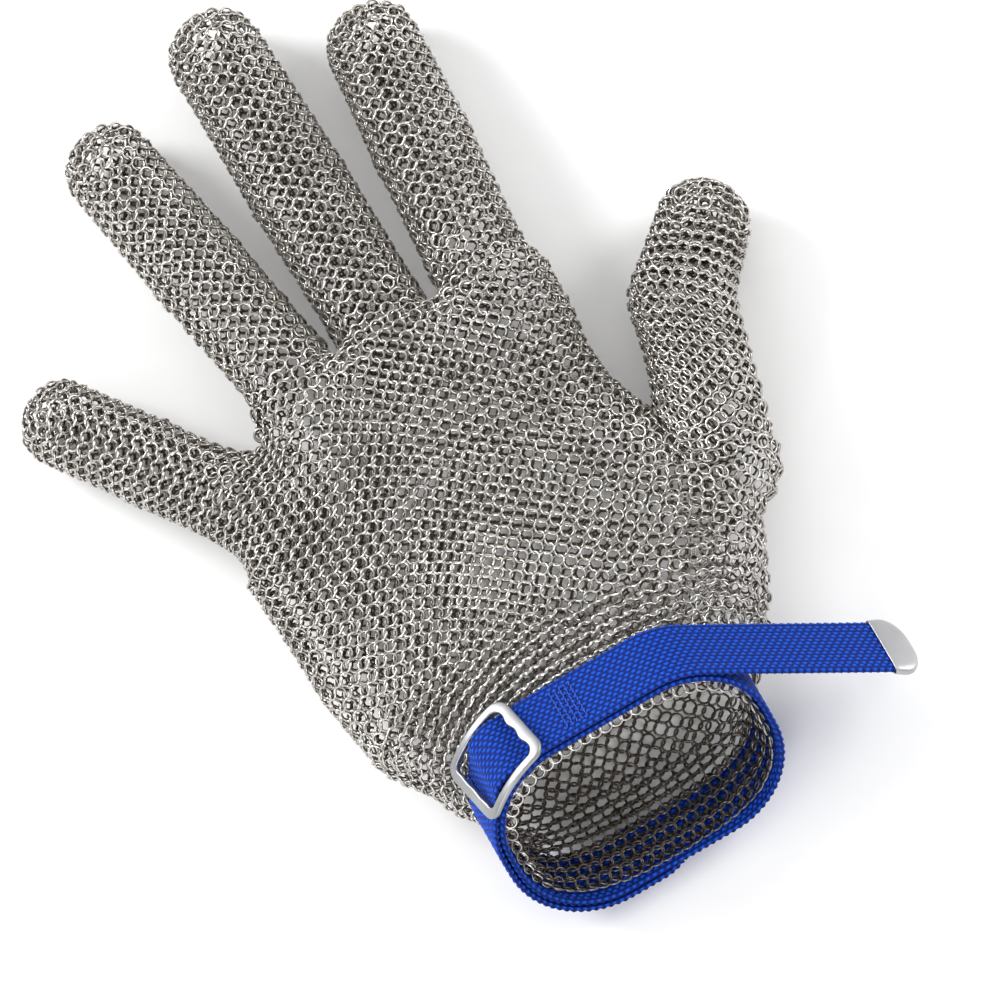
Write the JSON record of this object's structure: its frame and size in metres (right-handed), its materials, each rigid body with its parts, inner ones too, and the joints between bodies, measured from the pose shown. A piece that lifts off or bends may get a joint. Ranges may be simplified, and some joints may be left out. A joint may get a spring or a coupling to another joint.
{
  "type": "cut resistant glove",
  "caption": "Left-hand cut resistant glove of welded steel ring mesh, with bending fingers and thumb and a buckled blue webbing wrist strap.",
  "frame": {"origin": "on the flat underside of the palm, under the middle of the hand", "axes": "+Z out of the back of the hand, +Y along the middle finger to its tip, +X towards the thumb"},
  "size_m": [0.1764, 0.241, 0.049],
  "materials": {
    "ring_mesh": "bright welded wire rings",
    "webbing": "woven blue webbing",
    "buckle_steel": "satin stamped steel",
    "tip_steel": "satin folded sheet",
    "thread": "blue sewing thread"
  },
  "bodies": {
    "glove": {"back_panel": "ring_mesh", "palm_panel": "ring_mesh", "cuff_mesh": "ring_mesh", "strap_band": "webbing", "strap_outer_turn": "webbing", "index_knuckle_sleeve": "ring_mesh", "middle_knuckle_sleeve": "ring_mesh", "ring_knuckle_sleeve": "ring_mesh", "little_knuckle_sleeve": "ring_mesh", "thumb_knuckle_sleeve": "ring_mesh"},
    "index_base": {"index_base_tube": "ring_mesh", "index_joint_sleeve": "ring_mesh"},
    "index_tip": {"index_tip_tube": "ring_mesh"},
    "middle_base": {"middle_base_tube": "ring_mesh", "middle_joint_sleeve": "ring_mesh"},
    "middle_tip": {"middle_tip_tube": "ring_mesh"},
    "ring_base": {"ring_base_tube": "ring_mesh", "ring_joint_sleeve": "ring_mesh"},
    "ring_tip": {"ring_tip_tube": "ring_mesh"},
    "little_base": {"little_base_tube": "ring_mesh", "little_joint_sleeve": "ring_mesh"},
    "little_tip": {"little_tip_tube": "ring_mesh"},
    "thumb_base": {"thumb_base_tube": "ring_mesh", "thumb_joint_sleeve": "ring_mesh"},
    "thumb_tip": {"thumb_tip_tube": "ring_mesh"},
    "buckle": {"buckle_frame": "buckle_steel", "buckle_centre_bar": "buckle_steel", "buckle_webbing": "webbing"},
    "tail": {"strap_tail": "webbing", "strap_tip": "tip_steel", "tail_stitching": "thread"}
  },
  "joints": [
    {"name": "index_knuckle", "type": "hinge", "parent": "glove", "child": "index_base", "pos_m": [0.0262, 0.062, 0.0165], "axis": [-0.9975, 0.0709, 0], "range_deg": [0, 60], "deforming": ["index_knuckle_sleeve"]},
    {"name": "index_middle_joint", "type": "hinge", "parent": "index_base", "child": "index_tip", "pos_m": [0.02839, 0.09279, 0.01367], "axis": [-0.9975, 0.0709, 0], "range_deg": [0, 75], "deforming": ["index_joint_sleeve"]},
    {"name": "middle_knuckle", "type": "hinge", "parent": "glove", "child": "middle_base", "pos_m": [-0.0013, 0.062, 0.0165], "axis": [-0.9996, -0.0278, 0], "range_deg": [0, 60], "deforming": ["middle_knuckle_sleeve"]},
    {"name": "middle_middle_joint", "type": "hinge", "parent": "middle_base", "child": "middle_tip", "pos_m": [-0.0023, 0.09791, 0.01408], "axis": [-0.9996, -0.0278, 0], "range_deg": [0, 75], "deforming": ["middle_joint_sleeve"]},
    {"name": "ring_knuckle", "type": "hinge", "parent": "glove", "child": "ring_base", "pos_m": [-0.027, 0.061, 0.0165], "axis": [-0.9837, -0.1795, 0], "range_deg": [0, 60], "deforming": ["ring_knuckle_sleeve"]},
    {"name": "ring_middle_joint", "type": "hinge", "parent": "ring_base", "child": "ring_tip", "pos_m": [-0.0329, 0.09335, 0.01372], "axis": [-0.9837, -0.1795, 0], "range_deg": [0, 75], "deforming": ["ring_joint_sleeve"]},
    {"name": "little_knuckle", "type": "hinge", "parent": "glove", "child": "little_base", "pos_m": [-0.0514, 0.0369, 0.0165], "axis": [-0.8286, -0.5599, 0], "range_deg": [0, 60], "deforming": ["little_knuckle_sleeve"]},
    {"name": "little_middle_joint", "type": "hinge", "parent": "little_base", "child": "little_tip", "pos_m": [-0.06555, 0.05785, 0.01316], "axis": [-0.8286, -0.5599, 0], "range_deg": [0, 75], "deforming": ["little_joint_sleeve"]},
    {"name": "thumb_knuckle", "type": "hinge", "parent": "glove", "child": "thumb_base", "pos_m": [0.057, 0.0005, 0.0145], "axis": [-0.6873, 0.1661, 0.7071], "range_deg": [0, 25], "deforming": ["thumb_knuckle_sleeve"]},
    {"name": "thumb_middle_joint", "type": "hinge", "parent": "thumb_base", "child": "thumb_tip", "pos_m": [0.0635, 0.0274, 0.0134], "axis": [-0.3621, 0.3448, 0.866], "range_deg": [0, 45], "deforming": ["thumb_joint_sleeve"]},
    {"name": "buckle_tilt", "type": "hinge", "parent": "glove", "child": "buckle", "pos_m": [-0.03753, -0.06003, 0.03122], "axis": [0, -0.9511, 0.309], "range_deg": [0, 40]},
    {"name": "tail_lift", "type": "hinge", "parent": "buckle", "child": "tail", "pos_m": [-0.0128, -0.05189, 0.04111], "axis": [0, -0.9511, 0.309], "range_deg": [0, 90]}
  ]
}
